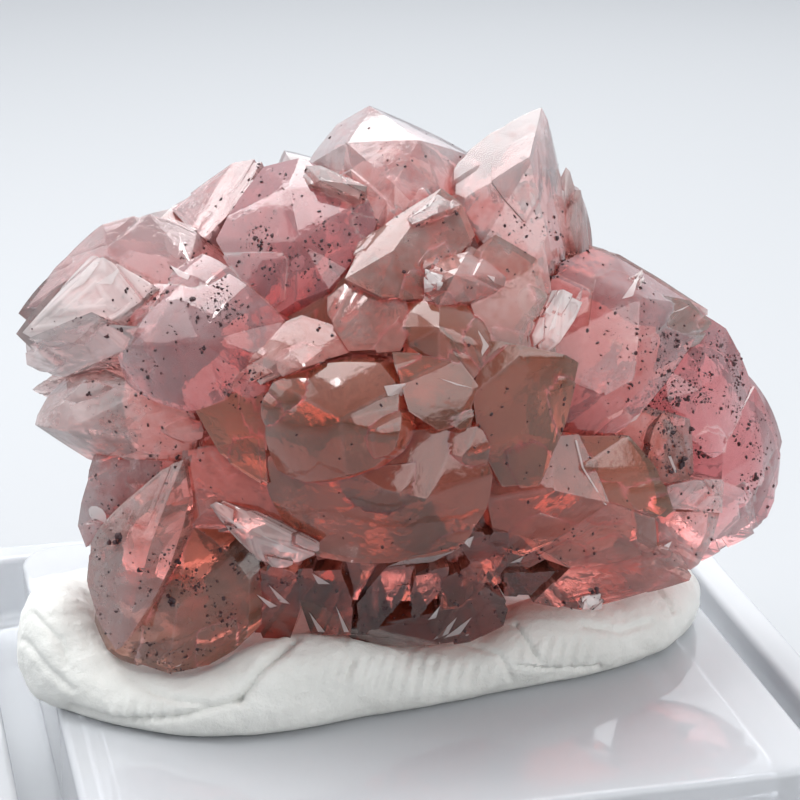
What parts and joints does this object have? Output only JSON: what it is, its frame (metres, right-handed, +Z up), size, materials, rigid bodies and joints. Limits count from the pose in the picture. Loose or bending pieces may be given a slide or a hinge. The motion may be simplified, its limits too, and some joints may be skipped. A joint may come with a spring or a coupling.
{
  "type": "smithsonite specimen",
  "caption": "Pink smithsonite crystal cluster seated in a bead of off-white mineral putty on the clear, hollow base of a small specimen box.",
  "frame": {"origin": "centre of the base's footprint, on the surface that it stands on", "axes": "+Z up; +X and +Y along the sides of the square base; -Y faces the crystals' best side"},
  "size_m": [0.0318, 0.0318, 0.0273],
  "materials": {
    "clear_plastic": "clear, glossy, moulded",
    "putty": "off-white waxy putty with finger prints",
    "smithsonite": "translucent pink crystal with glassy to pearly faces"
  },
  "bodies": {
    "root": {"clear_box_base": "clear_plastic", "mineral_putty": "putty", "smithsonite_cluster": "smithsonite"}
  },
  "joints": []
}
